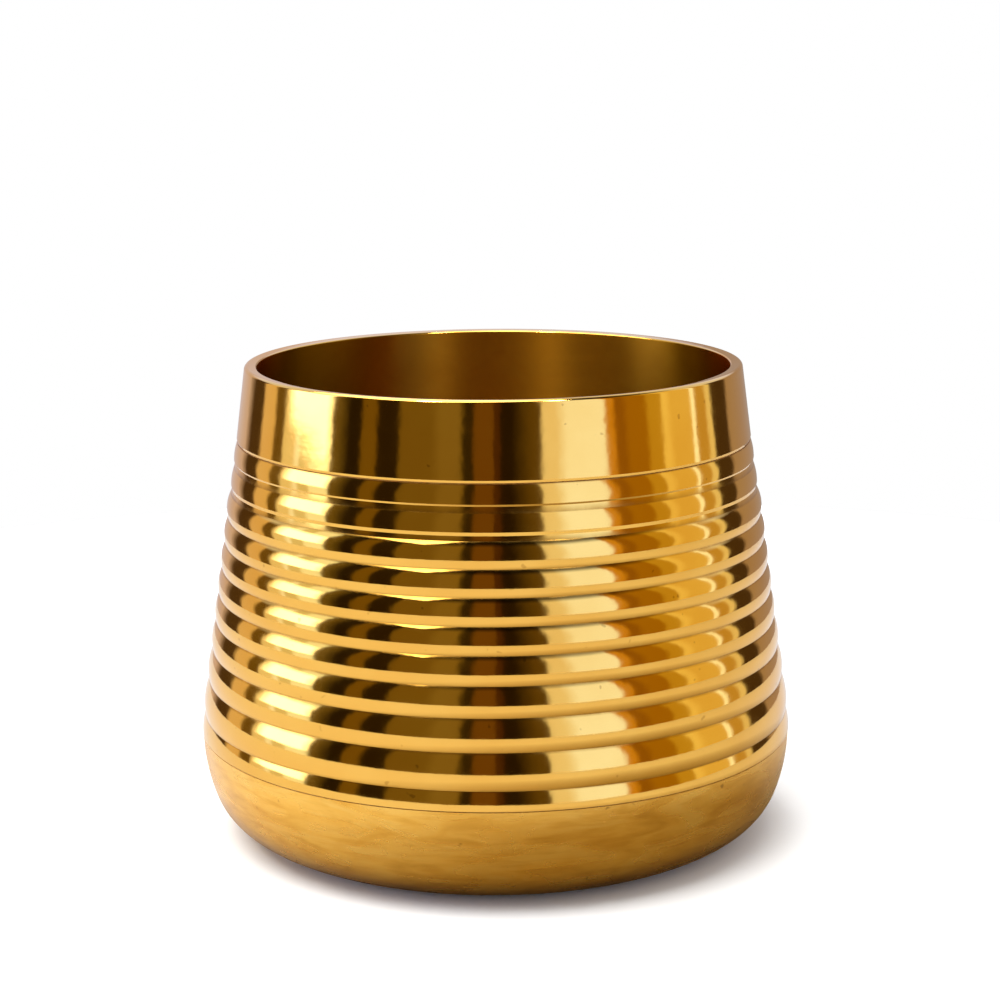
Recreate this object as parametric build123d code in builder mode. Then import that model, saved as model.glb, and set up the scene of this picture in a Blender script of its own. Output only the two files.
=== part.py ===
from build123d import *
import math
import os

# Brass planter pot, in millimetres. The axis of the pot is Z and it stands on z = 0.
# Driving dimensions: heights of the pot from the table up.
BASE_HEIGHT = 0.5            # the brass is held this far off the table by the felt
SEAM_HEIGHT = 28.6           # rebate of the base bowl, just under the widest part
COLLAR_FOOT = 108.45         # lower face of the rim collar
RIM_HEIGHT = 128.5           # outer corner of the lip, before it is rounded

# Driving dimensions: radii of the pot.
RIM_RADIUS = 66.6            # outside of the lip
COLLAR_FOOT_RADIUS = 69.2    # outside of the collar at its foot
GROOVE_TOP_RADIUS = 69.0     # bottom of the groove under the collar
GROOVE_LOW_RADIUS = 79.65    # bottom of the lowest groove
BELLY_RADIUS = 80.55         # lower edge of the ribbed body, the widest place
BOWL_RADIUS = 80.4           # the bowl is a hair smaller than the body above it

# The wall: one straight cone bored from the lip down to the seam.
LIP_WIDTH = 3.3
LIP_FALL = 0.45              # the lip is dressed square to the leaning wall, so it falls inward
BORE_TAPER = 0.1416          # growth of the bore's radius for each millimetre of depth
LIP_OUTER_ROUND = 1.0
LIP_INNER_ROUND = 0.5
FOOT_BEVEL_DEPTH = 0.2       # the collar's foot edge is bevelled this far in
FOOT_BEVEL_HEIGHT = 0.6

# The ribs: ten beads with sharp grooves between them, taller towards the belly.
BEAD_COUNT = 10
LOWEST_GROOVE = 33.84        # height of the groove under the last whole bead
BEAD_GROWTH = 2.5            # the last bead is this much taller than the first
BEAD_GROWTH_POWER = 4
BEAD_CROWN = 0.75            # how far a bead stands out from the line between its grooves
BELLY_CROWN = 0.22           # the same for the part bead that ends at the seam

# The two ribs next to the collar are flatter, and each ends in a small bevel and a plain land.
FLAT_BEAD_CROWN = 0.22
STEP_DEPTH = 0.3             # the bevel drops this far to the land
FLAT_BEAD_STEPS = ((0.5, 1.5), (0.9, 1.25))    # height of each rib's bevel, then of its land

# The base bowl: three arcs from the vertical at the seam to the flat under the pot.
SHOULDER_SWEEP = 20.0
CORNER_RADIUS = 17.6
CORNER_SWEEP = 42.0
HEEL_RADIUS = 25.0

# The two soldered lap joints.
SOLDER_THICKNESS = 0.3
SOLDER_SETBACK = 0.2         # the solder line lies this far below the polished face
SPIGOT_LENGTH = 5.0
SPIGOT_END_GAP = 0.2
JOINT_CLEARANCE = 0.05
COLLAR_SPIGOT_RADIUS = 67.6
BOWL_SPIGOT_RADIUS = 78.4

# The felt disc, set into a shallow recess under the bowl.
FELT_RADIUS = 50.0
FELT_THICKNESS = 1.5
FELT_CLEARANCE = 0.3


def bore_radius(height):
    """Radius of the bored inside of the pot at a height above the seam."""
    return RIM_RADIUS - LIP_WIDTH + BORE_TAPER * (RIM_HEIGHT - height)


BODY_TOP = COLLAR_FOOT - SOLDER_THICKNESS
BODY_FOOT = SEAM_HEIGHT + SOLDER_THICKNESS


def groove_heights():
    """Heights of the grooves above and below each bead, from the collar down."""
    growth = [BEAD_GROWTH * (n / (BEAD_COUNT - 1)) ** BEAD_GROWTH_POWER for n in range(BEAD_COUNT)]
    first = (BODY_TOP - LOWEST_GROOVE - sum(growth)) / BEAD_COUNT
    heights = [BODY_TOP]
    for extra in growth:
        heights.append(heights[-1] - first - extra)
    return heights


def groove_point(height, standing_out=0):
    """A point on the cone that the bottoms of all the grooves lie on, or standing out from it."""
    run = (BODY_TOP - height) / (BODY_TOP - LOWEST_GROOVE)
    radius = GROOVE_TOP_RADIUS + run * (GROOVE_LOW_RADIUS - GROOVE_TOP_RADIUS)
    return (radius + standing_out, height)


# Rim collar: a heavy turned ring with the lip on top and a spigot that goes down into the body.
spigot_foot = COLLAR_FOOT - SPIGOT_LENGTH
collar_lean = (COLLAR_FOOT_RADIUS - RIM_RADIUS) / (RIM_HEIGHT - COLLAR_FOOT)
with BuildPart() as rim_collar:
    with BuildSketch(Plane.XZ):
        with BuildLine():
            Polyline(
                (bore_radius(RIM_HEIGHT), RIM_HEIGHT - LIP_FALL),
                (RIM_RADIUS, RIM_HEIGHT),
                (COLLAR_FOOT_RADIUS - collar_lean * FOOT_BEVEL_HEIGHT, COLLAR_FOOT + FOOT_BEVEL_HEIGHT),
                (COLLAR_FOOT_RADIUS - FOOT_BEVEL_DEPTH, COLLAR_FOOT),
                (COLLAR_SPIGOT_RADIUS, COLLAR_FOOT),
                (COLLAR_SPIGOT_RADIUS, spigot_foot),
                (bore_radius(spigot_foot), spigot_foot),
                close=True,
            )
        make_face()
    revolve(axis=Axis.Z)
    rings = rim_collar.edges().filter_by(GeomType.CIRCLE)
    inner_lip, outer_lip = rings.sort_by(Axis.Z)[-2:]
    fillet(outer_lip, radius=LIP_OUTER_ROUND)
    fillet(inner_lip, radius=LIP_INNER_ROUND)
rim_collar.part.label = "rim_collar"

# Collar solder: the flat ring of solder between the collar's foot and the top of the body.
with BuildPart() as collar_solder:
    with BuildSketch(Plane.XY.offset(BODY_TOP)):
        Circle(GROOVE_TOP_RADIUS - SOLDER_SETBACK)
        Circle(COLLAR_SPIGOT_RADIUS, mode=Mode.SUBTRACT)
    extrude(amount=SOLDER_THICKNESS)
collar_solder.part.label = "collar_solder"

# Ribbed body: a tapered shell, turned into ten beads outside and bored smooth inside.
grooves = groove_heights()
top_rebate = spigot_foot - SPIGOT_END_GAP
foot_rebate = SEAM_HEIGHT + SPIGOT_LENGTH + SPIGOT_END_GAP
with BuildPart() as ribbed_body:
    with BuildSketch(Plane.XZ):
        with BuildLine():
            for upper, lower, (bevel, land) in zip(grooves, grooves[1:], FLAT_BEAD_STEPS):
                step_top = groove_point(lower + land + bevel, STEP_DEPTH)
                SagittaArc(groove_point(upper), step_top, FLAT_BEAD_CROWN)
                Polyline(step_top, groove_point(lower + land), groove_point(lower))
            round_grooves = grooves[len(FLAT_BEAD_STEPS):]
            for upper, lower in zip(round_grooves, round_grooves[1:]):
                SagittaArc(groove_point(upper), groove_point(lower), BEAD_CROWN)
            SagittaArc(groove_point(LOWEST_GROOVE), (BELLY_RADIUS, BODY_FOOT), BELLY_CROWN)
            Polyline(
                (BELLY_RADIUS, BODY_FOOT),
                (BOWL_SPIGOT_RADIUS + JOINT_CLEARANCE, BODY_FOOT),
                (BOWL_SPIGOT_RADIUS + JOINT_CLEARANCE, foot_rebate),
                (bore_radius(foot_rebate), foot_rebate),
                (bore_radius(top_rebate), top_rebate),
                (COLLAR_SPIGOT_RADIUS + JOINT_CLEARANCE, top_rebate),
                (COLLAR_SPIGOT_RADIUS + JOINT_CLEARANCE, BODY_TOP),
                groove_point(BODY_TOP),
            )
        make_face()
    revolve(axis=Axis.Z)
ribbed_body.part.label = "ribbed_body"

# Seam solder: the same joint at the belly, seen outside as a fine dark line.
with BuildPart() as seam_solder:
    with BuildSketch(Plane.XY.offset(SEAM_HEIGHT)):
        Circle(BOWL_RADIUS - SOLDER_SETBACK)
        Circle(BOWL_SPIGOT_RADIUS, mode=Mode.SUBTRACT)
    extrude(amount=SOLDER_THICKNESS)
seam_solder.part.label = "seam_solder"

# Base bowl: a cast dish with a spigot that goes up into the body and a recess for the felt.
heel_sweep = 90.0 - SHOULDER_SWEEP - CORNER_SWEEP
shoulder_sine = math.sin(math.radians(SHOULDER_SWEEP))
heel_sine = math.sin(math.radians(SHOULDER_SWEEP + CORNER_SWEEP))
corner_drop = CORNER_RADIUS * (heel_sine - shoulder_sine)
heel_drop = HEEL_RADIUS * (1 - heel_sine)
shoulder_radius = (SEAM_HEIGHT - BASE_HEIGHT - corner_drop - heel_drop) / shoulder_sine
wall = BOWL_RADIUS - bore_radius(SEAM_HEIGHT)
spigot_top = SEAM_HEIGHT + SPIGOT_LENGTH
with BuildPart() as base_bowl:
    with BuildSketch(Plane.XZ):
        with BuildLine():
            shoulder = JernArc((BOWL_RADIUS, SEAM_HEIGHT), (0, -1), shoulder_radius, -SHOULDER_SWEEP)
            corner = JernArc(shoulder @ 1, shoulder % 1, CORNER_RADIUS, -CORNER_SWEEP)
            heel = JernArc(corner @ 1, corner % 1, HEEL_RADIUS, -heel_sweep)
            inner_shoulder = JernArc((BOWL_RADIUS - wall, SEAM_HEIGHT), (0, -1),
                                     shoulder_radius - wall, -SHOULDER_SWEEP)
            inner_corner = JernArc(inner_shoulder @ 1, inner_shoulder % 1, CORNER_RADIUS - wall, -CORNER_SWEEP)
            inner_heel = JernArc(inner_corner @ 1, inner_corner % 1, HEEL_RADIUS - wall, -heel_sweep)
            Polyline(heel @ 1, (0, BASE_HEIGHT), (0, BASE_HEIGHT + wall), inner_heel @ 1)
            Polyline(
                (BOWL_RADIUS - wall, SEAM_HEIGHT),
                (bore_radius(spigot_top), spigot_top),
                (BOWL_SPIGOT_RADIUS, spigot_top),
                (BOWL_SPIGOT_RADIUS, SEAM_HEIGHT),
                (BOWL_RADIUS, SEAM_HEIGHT),
            )
        make_face()
    revolve(axis=Axis.Z)
    with BuildSketch(Plane.XY):
        Circle(FELT_RADIUS + FELT_CLEARANCE)
    extrude(amount=FELT_THICKNESS, mode=Mode.SUBTRACT)
base_bowl.part.label = "base_bowl"

# Base felt: the disc glued into the recess, so that the brass doesn't scratch the table.
with BuildPart() as base_felt:
    with BuildSketch(Plane.XY):
        Circle(FELT_RADIUS)
    extrude(amount=FELT_THICKNESS)
base_felt.part.label = "base_felt"

os.makedirs("parts", exist_ok=True)
for piece in (rim_collar, collar_solder, ribbed_body, seam_solder, base_bowl, base_felt):
    export_step(piece.part, f"parts/{piece.part.label}.step")
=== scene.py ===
import math
import bmesh
import bpy
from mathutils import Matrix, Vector


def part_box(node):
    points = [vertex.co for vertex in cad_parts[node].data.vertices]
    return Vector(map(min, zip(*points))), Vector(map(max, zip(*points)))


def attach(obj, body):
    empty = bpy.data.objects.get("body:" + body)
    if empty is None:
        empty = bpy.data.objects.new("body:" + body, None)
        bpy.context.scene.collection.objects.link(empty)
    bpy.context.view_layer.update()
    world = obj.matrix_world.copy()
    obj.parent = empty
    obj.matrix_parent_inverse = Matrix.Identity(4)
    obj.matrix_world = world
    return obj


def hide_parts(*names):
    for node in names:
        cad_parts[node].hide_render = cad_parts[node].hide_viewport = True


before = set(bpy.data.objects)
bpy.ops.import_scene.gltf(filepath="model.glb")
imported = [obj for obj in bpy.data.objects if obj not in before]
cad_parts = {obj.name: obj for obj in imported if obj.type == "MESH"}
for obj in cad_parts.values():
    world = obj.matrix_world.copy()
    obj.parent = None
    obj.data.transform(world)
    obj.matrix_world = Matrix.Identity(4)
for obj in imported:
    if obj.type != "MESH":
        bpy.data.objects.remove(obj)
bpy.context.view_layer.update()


# ---------------------------------------------------------------- base felt
# A disc of dark pressed wool felt, die-cut and glued into the recess under the
# bowl, so that the brass doesn't scratch what it stands on.

LATHE_STEPS = 240            # flats in one full turn: fine enough for a mirror polish
CREASE = math.radians(10)    # a sharper turn than this is a real edge


def start_outline(radius, height):
    """Begins a half outline, in the plane y = 0, and returns it with the pen on its first point."""
    outline = bmesh.new()
    outline.verts.layers.float.new("residue")
    return outline, outline.verts.new((radius, 0, height))


def line(outline, pen, radius, height):
    """Draws a straight stretch to a radius and a height."""
    point = outline.verts.new((radius, 0, height))
    outline.edges.new((pen, point))
    return point


def arc(outline, pen, centre, degrees, steps):
    """Draws a round stretch by swinging the pen about a centre: positive goes out and down."""
    swing = bmesh.ops.spin(outline, geom=[pen], cent=(centre[0], 0, centre[1]), axis=(0, 1, 0),
                           angle=math.radians(degrees), steps=steps)
    return [point for point in swing["geom_last"] if isinstance(point, bmesh.types.BMVert)][0]


def turn(outline, name, steps=LATHE_STEPS):
    """Turns the outline about the pot's axis into a closed piece with crisp edges kept crisp."""
    bmesh.ops.spin(outline, geom=outline.verts[:] + outline.edges[:], cent=(0, 0, 0),
                   axis=(0, 0, 1), angle=math.tau, steps=steps, use_merge=True)
    bmesh.ops.remove_doubles(outline, verts=outline.verts, dist=1e-6)
    bmesh.ops.recalc_face_normals(outline, faces=outline.faces)
    for face in outline.faces:
        face.smooth = True
    for edge in outline.edges:
        edge.smooth = edge.calc_face_angle(0) < CREASE
    mesh = bpy.data.meshes.new(name)
    outline.to_mesh(mesh)
    outline.free()
    piece = bpy.data.objects.new(name, mesh)
    bpy.context.scene.collection.objects.link(piece)
    return piece


def make_material(name):
    """A new material, with its node tree, its surface shader and its object coordinates."""
    material = bpy.data.materials.new(name)
    material.use_nodes = True
    tree = material.node_tree
    place = tree.nodes.new("ShaderNodeTexCoord").outputs["Object"]
    return material, tree, tree.nodes["Principled BSDF"], place


def pattern(tree, place, scale, detail=3.0, stretch=(1, 1, 1), distortion=0.0):
    """Cloudy noise: scale is in waves a metre, and stretch draws it out along an axis."""
    mapping = tree.nodes.new("ShaderNodeMapping")
    mapping.inputs["Scale"].default_value = stretch
    cloud = tree.nodes.new("ShaderNodeTexNoise")
    cloud.inputs["Scale"].default_value = scale
    cloud.inputs["Detail"].default_value = detail
    cloud.inputs["Distortion"].default_value = distortion
    tree.links.new(place, mapping.inputs["Vector"])
    tree.links.new(mapping.outputs["Vector"], cloud.inputs["Vector"])
    return cloud.outputs["Fac"]


def graded(tree, value, low, high, at_low, at_high):
    """Turns a value between low and high into one between at_low and at_high."""
    grade = tree.nodes.new("ShaderNodeMapRange")
    grade.inputs["From Min"].default_value = low
    grade.inputs["From Max"].default_value = high
    grade.inputs["To Min"].default_value = at_low
    grade.inputs["To Max"].default_value = at_high
    tree.links.new(value, grade.inputs["Value"])
    return grade.outputs["Result"]


def maths(tree, operation, first, second):
    """One sum on two values, either of which may be a plain number."""
    sum_node = tree.nodes.new("ShaderNodeMath")
    sum_node.operation = operation
    for socket, value in zip(sum_node.inputs, (first, second)):
        if isinstance(value, (int, float)):
            socket.default_value = value
        else:
            tree.links.new(value, socket)
    return sum_node.outputs["Value"]


def blended(tree, amount, first, second):
    """Two colours mixed by an amount; a colour is a tuple or another node's output."""
    mix = tree.nodes.new("ShaderNodeMix")
    mix.data_type = "RGBA"
    tree.links.new(amount, mix.inputs["Factor"])
    for socket, colour in ((mix.inputs["A"], first), (mix.inputs["B"], second)):
        if isinstance(colour, tuple):
            socket.default_value = (*colour, 1)
        else:
            tree.links.new(colour, socket)
    return mix.outputs["Result"]


def relief(tree, height, depth, shader):
    """Raises the surface by a height value, in metres of depth at 1."""
    bump = tree.nodes.new("ShaderNodeBump")
    bump.inputs["Strength"].default_value = 1.0
    bump.inputs["Distance"].default_value = depth
    tree.links.new(height, bump.inputs["Height"])
    tree.links.new(bump.outputs["Normal"], shader.inputs["Normal"])


felt_low, felt_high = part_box("base_felt")
FELT_EDGE = 0.0003           # the die leaves a soft edge this round
FELT_EDGE_STEPS = 10
FELT_LATHE_STEPS = 120
felt_outline, pen = start_outline(0, felt_high.z)
pen = line(felt_outline, pen, felt_high.x - FELT_EDGE, felt_high.z)
pen = arc(felt_outline, pen, (felt_high.x - FELT_EDGE, felt_high.z - FELT_EDGE),
          90, FELT_EDGE_STEPS)
pen = line(felt_outline, pen, felt_high.x, felt_low.z + FELT_EDGE)
pen = arc(felt_outline, pen, (felt_high.x - FELT_EDGE, felt_low.z + FELT_EDGE),
          90, FELT_EDGE_STEPS)
pen = line(felt_outline, pen, 0, felt_low.z)
felt_disc = turn(felt_outline, "felt_disc", steps=FELT_LATHE_STEPS)

felt_cloth, tree, shader, place = make_material("pressed_wool_felt")
fibres = pattern(tree, place, 2600, detail=5, distortion=1.2)
clumps = pattern(tree, place, 160, detail=3)
tone = maths(tree, "ADD", maths(tree, "MULTIPLY", fibres, 0.7),
             maths(tree, "MULTIPLY", clumps, 0.3))
tone = graded(tree, tone, 0.3, 0.7, 0, 1)
colour = blended(tree, tone, (0.016, 0.014, 0.013), (0.060, 0.053, 0.048))
tree.links.new(colour, shader.inputs["Base Color"])
shader.inputs["Roughness"].default_value = 0.95
shader.inputs["Sheen Weight"].default_value = 0.35
relief(tree, fibres, 0.00025, shader)
felt_disc.data.materials.append(felt_cloth)
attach(felt_disc, "root")
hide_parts("base_felt")


# ---------------------------------------------------------------- base bowl
# The foot of the pot: a cast brass dish, faced flat underneath and finished by
# hand on a cloth wheel to a soft satin, with the wheel's marks left in it. Its
# spigot goes up into the body.

SHOULDER_SWEEP = 20.0
CORNER_RADIUS = 0.0176
CORNER_SWEEP = 42.0
HEEL_RADIUS = 0.025
SHOULDER_STEPS = 14          # flats in each arc of the bowl's outside
CORNER_STEPS = 24
HEEL_STEPS = 12
INNER_SHOULDER_STEPS = 8     # and of its inside
INNER_CORNER_STEPS = 12
INNER_HEEL_STEPS = 8
RECESS_GAP = 0.0003          # room round the felt
MOUTH_RADIUS = 0.0633
BORE_TAPER = 0.1416
LIP_HEIGHT = 0.1285
BOWL_SPIGOT = 0.0784         # radius of the step that locates the body
LINING_MARGIN = 0.0001       # the bored finish stops this far inside the bowl's rim


def bore(height):
    """Radius of the pot's bored inside at a height above the seam."""
    return MOUTH_RADIUS + BORE_TAPER * (LIP_HEIGHT - height)


bowl_low, bowl_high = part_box("base_bowl")
bowl_radius = bowl_high.x
seam_low, seam_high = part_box("seam_solder")
bowl_wall = bowl_radius - bore(seam_low.z)
heel_start = math.radians(SHOULDER_SWEEP + CORNER_SWEEP)
shoulder_end = math.radians(SHOULDER_SWEEP)
corner_drop = CORNER_RADIUS * (math.sin(heel_start) - math.sin(shoulder_end))
heel_drop = HEEL_RADIUS * (1 - math.sin(heel_start))
shoulder_radius = (seam_low.z - bowl_low.z - corner_drop - heel_drop) / math.sin(shoulder_end)


def next_centre(centre, radius, next_radius, angle):
    """Centre of the arc that carries on smoothly where another ends, at an angle below level."""
    step = radius - next_radius
    return centre[0] + step * math.cos(angle), centre[1] - step * math.sin(angle)


shoulder_centre = (bowl_radius - shoulder_radius, seam_low.z)
corner_centre = next_centre(shoulder_centre, shoulder_radius, CORNER_RADIUS, shoulder_end)
heel_centre = next_centre(corner_centre, CORNER_RADIUS, HEEL_RADIUS, heel_start)
heel_sweep = 90 - SHOULDER_SWEEP - CORNER_SWEEP

bowl_outline, pen = start_outline(0, bowl_low.z + bowl_wall)
pen = line(bowl_outline, pen, heel_centre[0], bowl_low.z + bowl_wall)
pen = arc(bowl_outline, pen, heel_centre, -heel_sweep, INNER_HEEL_STEPS)
pen = arc(bowl_outline, pen, corner_centre, -CORNER_SWEEP, INNER_CORNER_STEPS)
pen = arc(bowl_outline, pen, shoulder_centre, -SHOULDER_SWEEP, INNER_SHOULDER_STEPS)
pen = line(bowl_outline, pen, bore(bowl_high.z), bowl_high.z)
pen = line(bowl_outline, pen, BOWL_SPIGOT, bowl_high.z)
pen = line(bowl_outline, pen, BOWL_SPIGOT, seam_low.z)
pen = line(bowl_outline, pen, bowl_radius, seam_low.z)
pen = arc(bowl_outline, pen, shoulder_centre, SHOULDER_SWEEP, SHOULDER_STEPS)
pen = arc(bowl_outline, pen, corner_centre, CORNER_SWEEP, CORNER_STEPS)
pen = arc(bowl_outline, pen, heel_centre, heel_sweep, HEEL_STEPS)
pen = line(bowl_outline, pen, felt_high.x + RECESS_GAP, bowl_low.z)
pen = line(bowl_outline, pen, felt_high.x + RECESS_GAP, felt_high.z)
pen = line(bowl_outline, pen, 0, felt_high.z)
satin_bowl = turn(bowl_outline, "satin_bowl")


def line_inside(piece, lining, floor_radius=0):
    """Gives the bored finish to the faces that look in at the axis, and to a round floor."""
    piece.data.materials.append(lining)
    for face in piece.data.polygons:
        towards = face.center.x * face.normal.x + face.center.y * face.normal.y
        on_wall = towards < 0 and abs(face.normal.z) < 0.5
        on_floor = face.normal.z > 0.3 and math.hypot(face.center.x, face.center.y) < floor_radius
        if on_wall or on_floor:
            face.material_index = 1


satin_brass, tree, shader, place = make_material("hand_buffed_brass")
blotches = pattern(tree, place, 55, detail=4, stretch=(0.8, 0.8, 1.6), distortion=0.8)
strokes = pattern(tree, place, 115, detail=3, stretch=(0.4, 0.4, 1.7), distortion=1.0)
wheel_lines = pattern(tree, place, 420, detail=4, stretch=(0.25, 0.25, 1.8), distortion=0.4)
pits = graded(tree, pattern(tree, place, 420, detail=2), 0.72, 0.77, 0, 0.6)
colour = blended(tree, graded(tree, blotches, 0.35, 0.65, 0, 1),
                 (0.99, 0.550, 0.095), (0.90, 0.460, 0.066))
light_strokes = graded(tree, strokes, 0.45, 0.70, 0, 0.60)
colour = blended(tree, light_strokes, colour, (0.97, 0.600, 0.140))
dark_strokes = graded(tree, strokes, 0.48, 0.28, 0, 0.50)
colour = blended(tree, dark_strokes, colour, (0.60, 0.280, 0.030))
fine_lines = graded(tree, wheel_lines, 0.50, 0.68, 0, 0.30)
colour = blended(tree, fine_lines, colour, (0.70, 0.310, 0.030))
colour = blended(tree, pits, colour, (0.25, 0.11, 0.02))
tree.links.new(colour, shader.inputs["Base Color"])
shader.inputs["Metallic"].default_value = 1.0
rough = maths(tree, "ADD", graded(tree, blotches, 0.3, 0.7, 0.20, 0.27),
              graded(tree, strokes, 0.3, 0.7, 0, 0.07))
tree.links.new(rough, shader.inputs["Roughness"])
wheel_marks = maths(tree, "ADD", maths(tree, "MULTIPLY", blotches, 2.5), strokes)
wheel_marks = maths(tree, "ADD", wheel_marks, maths(tree, "MULTIPLY", wheel_lines, 0.12))
relief(tree, wheel_marks, 0.00004, shader)

# Inside, the brass is left as the boring tool cut it, and has dulled to a deep brown gold.
bored_brass, tree, shader, place = make_material("bored_brass")
patina = pattern(tree, place, 60, detail=5, distortion=0.6)
tool_lines = pattern(tree, place, 2600, detail=2, stretch=(0.01, 0.01, 1.0))
colour = blended(tree, graded(tree, patina, 0.35, 0.7, 0, 1),
                 (0.36, 0.148, 0.008), (0.29, 0.112, 0.005))
tree.links.new(colour, shader.inputs["Base Color"])
shader.inputs["Metallic"].default_value = 1.0
rough = maths(tree, "ADD", graded(tree, patina, 0.3, 0.7, 0.34, 0.40),
              graded(tree, tool_lines, 0.3, 0.7, 0, 0.04))
tree.links.new(rough, shader.inputs["Roughness"])
relief(tree, tool_lines, 0.00001, shader)
# The boring tool's lines run round, so they spread each reflection up and down.
round_the_bore = tree.nodes.new("ShaderNodeTangent")
round_the_bore.direction_type = "RADIAL"
round_the_bore.axis = "Z"
tree.links.new(round_the_bore.outputs["Tangent"], shader.inputs["Tangent"])
shader.inputs["Anisotropic"].default_value = 0.95
shader.inputs["Anisotropic Rotation"].default_value = 0.25
shader.inputs["Specular Tint"].default_value = (0.75, 0.32, 0.03, 1)

satin_bowl.data.materials.append(satin_brass)
line_inside(satin_bowl, bored_brass, floor_radius=bore(bowl_high.z) - LINING_MARGIN)
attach(satin_bowl, "root")
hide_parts("base_bowl")


# ---------------------------------------------------------------- seam solder
# A flat ring of solder, laid in the joint before the body is pressed down and
# heated. Outside, its edge lies a hair below the brass and has dulled.

def solder_ring(name, node, inner_radius):
    """A solder ring: the washer between two faces, with a meniscus at its outer edge."""
    low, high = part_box(node)
    middle = (low.z + high.z) / 2
    outline, pen = start_outline(inner_radius, low.z)
    first = pen
    pen = line(outline, pen, high.x, low.z)
    pen = line(outline, pen, high.x - (high.z - low.z) / 3, middle)
    pen = line(outline, pen, high.x, high.z)
    pen = line(outline, pen, inner_radius, high.z)
    outline.edges.new((pen, first))
    return turn(outline, name)


dull_solder, tree, shader, place = make_material("darkened_solder")
grains = pattern(tree, place, 700, detail=4)
colour = blended(tree, graded(tree, grains, 0.3, 0.7, 0, 1),
                 (0.34, 0.180, 0.045), (0.56, 0.310, 0.085))
tree.links.new(colour, shader.inputs["Base Color"])
shader.inputs["Metallic"].default_value = 0.7
tree.links.new(graded(tree, grains, 0.3, 0.7, 0.45, 0.75), shader.inputs["Roughness"])
relief(tree, grains, 0.0002, shader)

seam_ring = solder_ring("seam_ring", "seam_solder", BOWL_SPIGOT)
seam_ring.data.materials.append(dull_solder)
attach(seam_ring, "root")
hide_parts("seam_solder")


# ---------------------------------------------------------------- ribbed body
# A tapered brass casting, bored smooth inside and turned outside into round
# beads that grow towards the belly, then polished to a mirror. The two top
# beads are nearly flat, each with a small bevel and a plain land under it.

BEAD_COUNT = 10
BEAD_STEPS = 14
LOWEST_GROOVE = 0.03384
GROOVE_TOP_RADIUS = 0.0690
GROOVE_LOW_RADIUS = 0.07965
BEAD_GROWTH = 0.0025
BEAD_GROWTH_POWER = 4
BEAD_CROWN = 0.00075
BELLY_CROWN = 0.00022        # the part bead at the belly
FLAT_BEAD_CROWN = 0.00022
STEP_DEPTH = 0.0003
STEPS = ((0.0005, 0.0015), (0.0009, 0.00125))    # each flat bead's bevel and land
COLLAR_SPIGOT = 0.0676
JOINT_CLEARANCE = 0.00005
SPIGOT_GAP = 0.0002

body_low, body_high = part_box("ribbed_body")
collar_low, collar_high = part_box("rim_collar")


def groove_heights():
    """Heights of the grooves, from the collar down: the beads grow towards the belly."""
    growth = [BEAD_GROWTH * (n / (BEAD_COUNT - 1)) ** BEAD_GROWTH_POWER for n in range(BEAD_COUNT)]
    first = (body_high.z - LOWEST_GROOVE - sum(growth)) / BEAD_COUNT
    heights = [body_high.z]
    for extra in growth:
        heights.append(heights[-1] - first - extra)
    return heights


def groove_radius(height):
    """The grooves' bottoms all lie on one cone."""
    run = (body_high.z - height) / (body_high.z - LOWEST_GROOVE)
    return GROOVE_TOP_RADIUS + run * (GROOVE_LOW_RADIUS - GROOVE_TOP_RADIUS)


def bead(outline, pen, radius, height, crown, steps):
    """Draws one bead from the pen down to a radius and a height, standing out by its crown."""
    start = pen.co.copy()
    fall = Vector((radius, 0, height)) - start
    chord = fall.length
    ball = (chord ** 2 / 4 + crown ** 2) / (2 * crown)
    outward = Vector((-fall.z, 0, fall.x)).normalized()
    centre = start + fall / 2 - outward * (ball - crown)
    sweep = 2 * math.degrees(math.asin(chord / 2 / ball))
    return arc(outline, pen, (centre.x, centre.z), sweep, steps)


body_outline, pen = start_outline(groove_radius(body_high.z), body_high.z)
grooves = [pen]
for height, (bevel, land) in zip(groove_heights()[1:], STEPS):
    land_top = height + land
    step_top = land_top + bevel
    pen = bead(body_outline, pen, groove_radius(step_top) + STEP_DEPTH, step_top,
               FLAT_BEAD_CROWN, BEAD_STEPS)
    pen = line(body_outline, pen, groove_radius(land_top), land_top)
    pen = line(body_outline, pen, groove_radius(height), height)
    grooves.append(pen)
for height in groove_heights()[1 + len(STEPS):]:
    pen = bead(body_outline, pen, groove_radius(height), height, BEAD_CROWN, BEAD_STEPS)
    grooves.append(pen)
pen = bead(body_outline, pen, body_high.x, body_low.z, BELLY_CROWN, BEAD_STEPS)
low_rebate = bowl_high.z + SPIGOT_GAP
top_rebate = collar_low.z - SPIGOT_GAP
pen = line(body_outline, pen, BOWL_SPIGOT + JOINT_CLEARANCE, body_low.z)
pen = line(body_outline, pen, BOWL_SPIGOT + JOINT_CLEARANCE, low_rebate)
pen = line(body_outline, pen, bore(low_rebate), low_rebate)
pen = line(body_outline, pen, bore(top_rebate), top_rebate)
pen = line(body_outline, pen, COLLAR_SPIGOT + JOINT_CLEARANCE, top_rebate)
pen = line(body_outline, pen, COLLAR_SPIGOT + JOINT_CLEARANCE, body_high.z)
body_outline.edges.new((pen, grooves[0]))
for groove in grooves:
    groove[body_outline.verts.layers.float["residue"]] = 1.0
beaded_shell = turn(body_outline, "beaded_shell")


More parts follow.
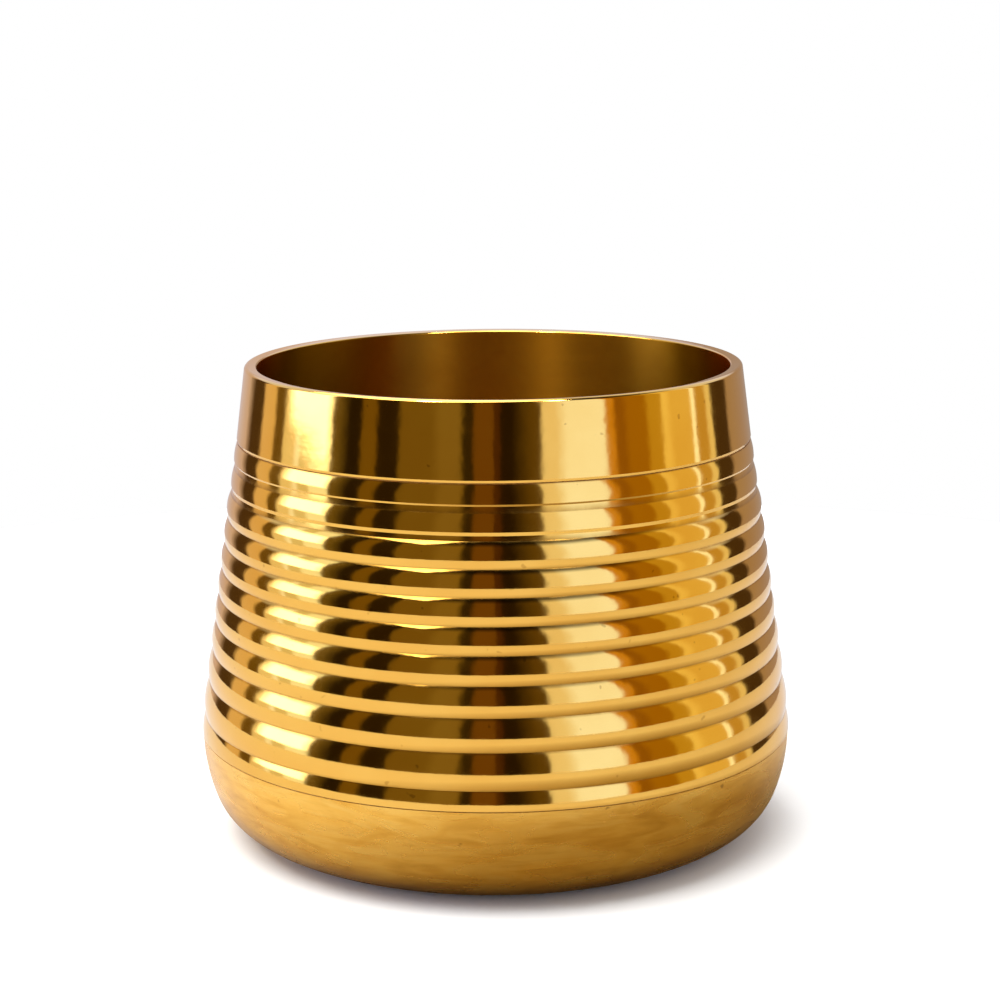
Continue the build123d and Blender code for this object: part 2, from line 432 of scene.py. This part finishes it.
mirror_brass, tree, shader, place = make_material("mirror_polished_brass")
clouds = pattern(tree, place, 45, detail=4)
smears = pattern(tree, place, 110, detail=5, distortion=1.5)
buffing = pattern(tree, place, 1500, detail=3, stretch=(0.03, 0.03, 1.0))
grain = pattern(tree, place, 2200, detail=2)
colour = blended(tree, graded(tree, clouds, 0.35, 0.7, 0, 1),
                 (0.905, 0.505, 0.095), (0.86, 0.45, 0.075))
specks = graded(tree, pattern(tree, place, 380, detail=1), 0.75, 0.79, 0, 0.45)
colour = blended(tree, specks, colour, (0.34, 0.155, 0.022))
groove_dirt = tree.nodes.new("ShaderNodeAttribute")
groove_dirt.attribute_name = "residue"
dirt = maths(tree, "MULTIPLY", groove_dirt.outputs["Fac"],
             graded(tree, smears, 0.3, 0.6, 0.5, 1.0))
colour = blended(tree, dirt, colour, (0.58, 0.29, 0.045))
tree.links.new(colour, shader.inputs["Base Color"])
shader.inputs["Metallic"].default_value = 1.0
rough = maths(tree, "ADD", graded(tree, smears, 0.35, 0.75, 0.05, 0.085),
              graded(tree, grain, 0.3, 0.7, 0, 0.02))
rough = maths(tree, "ADD", rough, maths(tree, "MULTIPLY", dirt, 0.12))
tree.links.new(rough, shader.inputs["Roughness"])
ripple = maths(tree, "ADD", clouds, maths(tree, "MULTIPLY", buffing, 0.01))
relief(tree, ripple, 0.00013, shader)

beaded_shell.data.materials.append(mirror_brass)
line_inside(beaded_shell, bored_brass)
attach(beaded_shell, "root")
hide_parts("ribbed_body")


# ---------------------------------------------------------------- collar solder
# The same kind of ring, in the joint under the collar. It is laid on the
# body's top face round the collar's spigot, and melted with the seam's.

collar_ring = solder_ring("collar_ring", "collar_solder", COLLAR_SPIGOT)
collar_ring.data.materials.append(dull_solder)
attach(collar_ring, "root")
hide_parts("collar_solder")


# ---------------------------------------------------------------- rim collar
# The heavy plain ring at the mouth, turned from the solid: a lip dressed square
# to the leaning wall, a smooth band, a bevelled foot and a spigot below it.

RIM_RADIUS = 0.0666
COLLAR_FOOT_RADIUS = 0.0692
LIP_FALL = 0.00045
LIP_OUTER_ROUND = 0.0010
LIP_INNER_ROUND = 0.0005
LIP_OUTER_SEGMENTS = 14
LIP_INNER_SEGMENTS = 10
FOOT_BEVEL_IN = 0.0002
FOOT_BEVEL_UP = 0.0006

solder_low, solder_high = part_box("collar_solder")
collar_outline, pen = start_outline(bore(collar_low.z), collar_low.z)
spigot_inner = pen
pen = line(collar_outline, pen, COLLAR_SPIGOT, collar_low.z)
pen = line(collar_outline, pen, COLLAR_SPIGOT, solder_high.z)
pen = line(collar_outline, pen, COLLAR_FOOT_RADIUS - FOOT_BEVEL_IN, solder_high.z)
lean = (COLLAR_FOOT_RADIUS - RIM_RADIUS) / (LIP_HEIGHT - solder_high.z)
pen = line(collar_outline, pen, COLLAR_FOOT_RADIUS - FOOT_BEVEL_UP * lean,
           solder_high.z + FOOT_BEVEL_UP)
outer_lip = line(collar_outline, pen, RIM_RADIUS, LIP_HEIGHT)
inner_lip = line(collar_outline, outer_lip, MOUTH_RADIUS, LIP_HEIGHT - LIP_FALL)
collar_outline.edges.new((inner_lip, spigot_inner))
lip_rounds = ((outer_lip, LIP_OUTER_ROUND, LIP_OUTER_SEGMENTS),
              (inner_lip, LIP_INNER_ROUND, LIP_INNER_SEGMENTS))
for corner, size, segments in lip_rounds:
    bmesh.ops.bevel(collar_outline, geom=[corner], offset=size, offset_type="OFFSET",
                    affect="VERTICES", segments=segments, profile=0.5, material=-1)
band_ring = turn(collar_outline, "band_ring")
band_ring.data.materials.append(mirror_brass)
line_inside(band_ring, bored_brass)
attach(band_ring, "root")
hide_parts("rim_collar")


# ---------------------------------------------------------------- table, light and camera
# A round white table in a dim warm room. Tall soft boxes and reflector cards
# stand round it, a pale sheet hangs high behind it, and one large soft box hangs
# over it, to the left and in front. Two small ones light the pot's inside.

TABLE_RADIUS = 0.44
TABLE_SEGMENTS = 180
ROOM_SIDE_SWEEP = 180        # each side's cards run from the camera to right behind
HOT_BOX_NEAR = (75, 79)      # where the hot box's near edge starts and ends, in degrees
HOT_BOX_FAR = (99, 105)
table_mesh = bpy.data.meshes.new("table_top")
table_shape = bmesh.new()
bmesh.ops.create_circle(table_shape, cap_ends=True, radius=TABLE_RADIUS,
                        segments=TABLE_SEGMENTS)
table_shape.to_mesh(table_mesh)
table_shape.free()
table_top = bpy.data.objects.new("table_top", table_mesh)
bpy.context.scene.collection.objects.link(table_top)
white_paper, tree, shader, place = make_material("white_paper")
# The paper is exposed to read as pure white, while its mirror image in the brass stays in tone.
paper_seen = tree.nodes.new("ShaderNodeLightPath").outputs["Is Camera Ray"]
# Painted shadow: near the pot, a little to the right and in front of it, the paper's mirror image
# is painted darker and warmer. This stands in for the pot's shade on the table and the warm light
# bounced from the brass.
painted_shadow_distance = tree.nodes.new("ShaderNodeVectorMath")
painted_shadow_distance.operation = "DISTANCE"
painted_shadow_distance.inputs[1].default_value = (0.045, -0.05, 0)
tree.links.new(place, painted_shadow_distance.inputs[0])
mirror_tone_with_painted_shadow = graded(tree, painted_shadow_distance.outputs["Value"], 0.06, 0.15, 0, 1)
mirror_tone_with_painted_shadow = blended(tree, mirror_tone_with_painted_shadow, (0.22, 0.18, 0.10), (0.50, 0.51, 0.54))
colour = blended(tree, paper_seen, mirror_tone_with_painted_shadow, (0.95, 0.965, 0.955))
tree.links.new(colour, shader.inputs["Base Color"])
shader.inputs["Roughness"].default_value = 0.9
shader.inputs["Specular IOR Level"].default_value = 0.1
table_mesh.materials.append(white_paper)

# Round the room on each side of the camera, going outwards from it: where each
# card starts, how soft its edge is (both in degrees) and its light.
LEFT_CARDS = (
    (0, 0.0, (0.16, 0.085, 0.012)),
    (9, 0.7, (0.035, 0.025, 0.006)),
    (14, 1.0, (0.24, 0.19, 0.06)),
    (25, 2.0, (0.19, 0.14, 0.03)),
    (42, 0.8, (0.025, 0.016, 0.004)),
    (52.5, 0.8, (0.18, 0.12, 0.012)),
    (60, 0.8, (0.02, 0.013, 0.003)),
    (69, 3.0, (0.15, 0.12, 0.03)),
    (75.5, 0.8, (1.15, 1.45, 2.3)),
    (86.5, 0.8, (0.82, 0.90, 1.0)),
    (94, 0.8, (1.15, 1.45, 2.6)),
    (97, 1.5, (0.93, 0.98, 1.05)),
    (106, 0.8, (0.16, 0.11, 0.02)),
    (113.5, 1.0, (0.82, 0.70, 0.50)),
    (125, 1.2, (0.08, 0.05, 0.02)),
    (141, 4.0, (0.66, 0.58, 0.60)),
)
RIGHT_CARDS = (
    (0, 0.0, (0.07, 0.03, 0.005)),
    (3, 0.7, (0.02, 0.012, 0.002)),
    (12, 4.0, (0.115, 0.08, 0.01)),
    (20.5, 0.7, (0.95, 1.06, 1.4)),
    (29.5, 2.5, (1.11, 1.48, 3.0)),
    (50, 0.8, (0.66, 0.38, 0.03)),
    (54.5, 1.0, (0.30, 0.15, 0.004)),
    (60, 1.5, (0.39, 0.22, 0.005)),
    (71.5, 1.0, (0.58, 0.43, 0.06)),
    (79.5, 0.8, (0.98, 0.94, 0.55)),
    (84, 2.0, (0.84, 0.73, 0.33)),
    (98.5, 0.6, (1.30, 1.70, 3.0)),
    (101, 0.6, (0.60, 0.45, 0.14)),
    (109, 1.0, (0.90, 0.92, 0.80)),
    (113.5, 1.0, (0.07, 0.045, 0.02)),
    (128, 1.5, (0.41, 0.34, 0.30)),
)


def card_ramp(tree, bearing, cards):
    """The light of one side's cards by bearing, from the camera round to behind the table."""
    ramp = tree.nodes.new("ShaderNodeValToRGB")
    stops = ramp.color_ramp.elements
    stops[0].position, stops[0].color = 0, (*cards[0][2], 1)
    before = cards[0][2]
    for number, (start, softness, light) in enumerate(cards[1:]):
        edge = stops[1] if number == 0 else stops.new(1.0)
        edge.position, edge.color = (start - softness) / ROOM_SIDE_SWEEP, (*before, 1)
        edge = stops.new((start + softness) / ROOM_SIDE_SWEEP)
        edge.color = (*light, 1)
        before = light
    tree.links.new(bearing, ramp.inputs["Fac"])
    return ramp.outputs["Color"]


world = bpy.data.worlds.new("studio_room")
bpy.context.scene.world = world
world.use_nodes = True
tree = world.node_tree
background = tree.nodes["Background"]
direction = tree.nodes.new("ShaderNodeSeparateXYZ")
outlook = tree.nodes.new("ShaderNodeTexCoord").outputs["Generated"]
tree.links.new(outlook, direction.inputs["Vector"])
towards_camera = maths(tree, "MULTIPLY", direction.outputs["Y"], -1)
sideways = maths(tree, "ABSOLUTE", direction.outputs["X"], 0)
bearing = graded(tree, maths(tree, "ARCTAN2", sideways, towards_camera), 0, math.pi, 0, 1)
on_the_right = maths(tree, "GREATER_THAN", direction.outputs["X"], 0)
room = blended(tree, on_the_right, card_ramp(tree, bearing, LEFT_CARDS),
               card_ramp(tree, bearing, RIGHT_CARDS))
level = tree.nodes.new("ShaderNodeValToRGB")
tree.links.new(graded(tree, direction.outputs["Z"], -1, 1, 0, 1), level.inputs["Fac"])
level.color_ramp.elements[0].position = 0.30
level.color_ramp.elements[0].color = (0.2, 0.2, 0.2, 1)
level.color_ramp.elements[1].position = 0.40
level.color_ramp.elements[1].color = (1, 1, 1, 1)
for height, share in ((0.76, 1.0), (0.84, 0.12), (1.0, 0.05)):
    stop = level.color_ramp.elements.new(height)
    stop.color = (share, share, share, 1)
lit_room = tree.nodes.new("ShaderNodeMix")
lit_room.data_type = "RGBA"
lit_room.blend_type = "MULTIPLY"
lit_room.inputs["Factor"].default_value = 1.0
tree.links.new(room, lit_room.inputs["A"])
tree.links.new(level.outputs["Color"], lit_room.inputs["B"])
high = graded(tree, direction.outputs["Z"], 0.26, 0.36, 0, 1)
behind = graded(tree, direction.outputs["Y"], 0.10, 0.35, 0, 1)
sheet_area = maths(tree, "MULTIPLY", high, behind)
studio = blended(tree, sheet_area, lit_room.outputs["Result"], (0.80, 0.95, 1.60))
# The brightest box stands on the left, its foot just above the level of the table.
above_table = graded(tree, direction.outputs["Z"], -0.005, 0.03, 0, 1)
below_top = graded(tree, direction.outputs["Z"], 0.40, 0.30, 0, 1)
near_edge = graded(tree, bearing, HOT_BOX_NEAR[0] / ROOM_SIDE_SWEEP,
                   HOT_BOX_NEAR[1] / ROOM_SIDE_SWEEP, 0, 1)
far_edge = graded(tree, bearing, HOT_BOX_FAR[1] / ROOM_SIDE_SWEEP,
                  HOT_BOX_FAR[0] / ROOM_SIDE_SWEEP, 0, 1)
box_area = maths(tree, "MULTIPLY", maths(tree, "MULTIPLY", above_table, below_top),
                 maths(tree, "MULTIPLY", near_edge, far_edge))
on_the_left = maths(tree, "LESS_THAN", direction.outputs["X"], 0)
box_area = maths(tree, "MULTIPLY", box_area, on_the_left)
studio = blended(tree, box_area, studio, (3.60, 4.10, 7.00))
ray = tree.nodes.new("ShaderNodeLightPath")
studio = blended(tree, ray.outputs["Is Diffuse Ray"], studio, (0.82, 0.82, 0.82))
studio = blended(tree, ray.outputs["Is Camera Ray"], studio, (1.0, 1.0, 1.0))
tree.links.new(studio, background.inputs["Color"])


def soft_box(name, bearing, height, distance, width, depth, radiance):
    """A square soft box that faces the pot; radiance is how bright its cloth looks."""
    lamp = bpy.data.lights.new(name, "AREA")
    lamp.shape = "RECTANGLE"
    lamp.size = width
    lamp.size_y = depth
    lamp.energy = radiance * math.pi * width * depth
    box = bpy.data.objects.new(name, lamp)
    bpy.context.scene.collection.objects.link(box)
    angle = math.radians(bearing)
    box.location = (distance * math.sin(angle), -distance * math.cos(angle), height)
    aim = Vector((0, 0, 0.05)) - box.location
    box.rotation_euler = aim.to_track_quat("-Z", "Y").to_euler()
    box.visible_camera = False
    return box


soft_box("overhead_box", -65, height=1.00, distance=0.32, width=1.20, depth=1.20, radiance=4.2)
for side, radiance in ((-38, 42.0), (36, 34.0)):
    bore_box = soft_box("bore_box", side, height=1.05, distance=0.72, width=0.14, depth=0.22,
                        radiance=radiance)
    bore_box.visible_diffuse = False

# The camera stands on the pot's front, on a long lens, and looks a little down.
CAMERA_BACK = 0.6339
CAMERA_HEIGHT = 0.2202
CAMERA_TILT = 11.593
CAMERA_TURN = 0.213          # degrees that the camera looks to the right of the pot
CAMERA_ROLL = 0.35
CAMERA_LENS = 85.66
SENSOR_WIDTH = 36.0
lens = bpy.data.cameras.new("camera")
lens.sensor_width = SENSOR_WIDTH
lens.lens = CAMERA_LENS
camera = bpy.data.objects.new("camera", lens)
bpy.context.scene.collection.objects.link(camera)
camera.location = (0, -CAMERA_BACK, CAMERA_HEIGHT)
camera.rotation_mode = "XYZ"
camera.rotation_euler = (math.radians(90 - CAMERA_TILT), math.radians(CAMERA_ROLL),
                         math.radians(-CAMERA_TURN))
bpy.context.scene.camera = camera
bpy.context.scene.view_settings.view_transform = "Standard"

bpy.context.view_layer.update()
